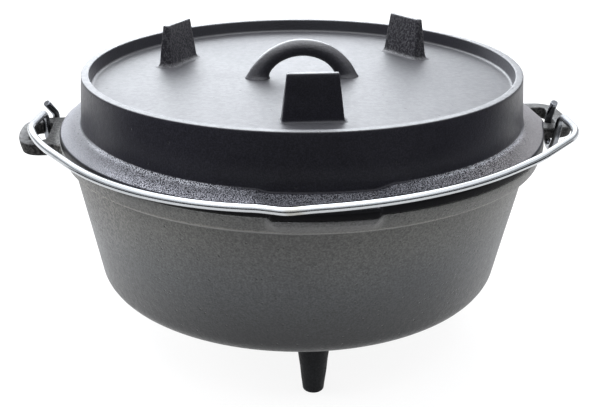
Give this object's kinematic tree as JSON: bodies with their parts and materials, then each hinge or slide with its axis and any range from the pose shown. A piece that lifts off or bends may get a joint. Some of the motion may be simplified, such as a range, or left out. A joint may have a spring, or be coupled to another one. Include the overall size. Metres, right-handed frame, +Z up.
{
  "type": "camp dutch oven",
  "caption": "Legged cast-iron pot with a tall-rimmed coal lid that stands on its own feet when turned over, two ears and a hooked wire bail.",
  "frame": {"origin": "on the pot's axis, in the plane of the three leg tips", "axes": "+Z up, ears along X, pour spout and front leg at -Y"},
  "size_m": [0.3862, 0.3437, 0.2065],
  "materials": {
    "pot_iron": "sand-cast, dry seasoned, matte grey-black",
    "lid_iron": "sand-cast, oiled seasoning, satin black",
    "bail_zinc": "bright zinc-plated wire"
  },
  "bodies": {
    "pot": {"pot_floor": "pot_iron", "pot_wall": "pot_iron", "pot_rim": "pot_iron", "pot_ear_left": "pot_iron", "pot_ear_right": "pot_iron", "pot_leg_front": "pot_iron", "pot_leg_rear_left": "pot_iron", "pot_leg_rear_right": "pot_iron"},
    "lid": {"lid_plate": "lid_iron", "lid_wall": "lid_iron", "lid_brim": "lid_iron", "lid_handle": "lid_iron", "lid_foot_front": "lid_iron", "lid_foot_rear_left": "lid_iron", "lid_foot_rear_right": "lid_iron"},
    "bail": {"bail_wire": "bail_zinc"}
  },
  "joints": [
    {"name": "lid_lift", "type": "slide", "parent": "pot", "child": "lid", "axis": [0, 0, 1], "range_m": [0, 0.15]},
    {"name": "bail_swing", "type": "hinge", "parent": "pot", "child": "bail", "pos_m": [-0.0017, 0.00394, 0.1392], "axis": [-0.993, 0.1179, 0], "range_deg": [0, 110]}
  ]
}
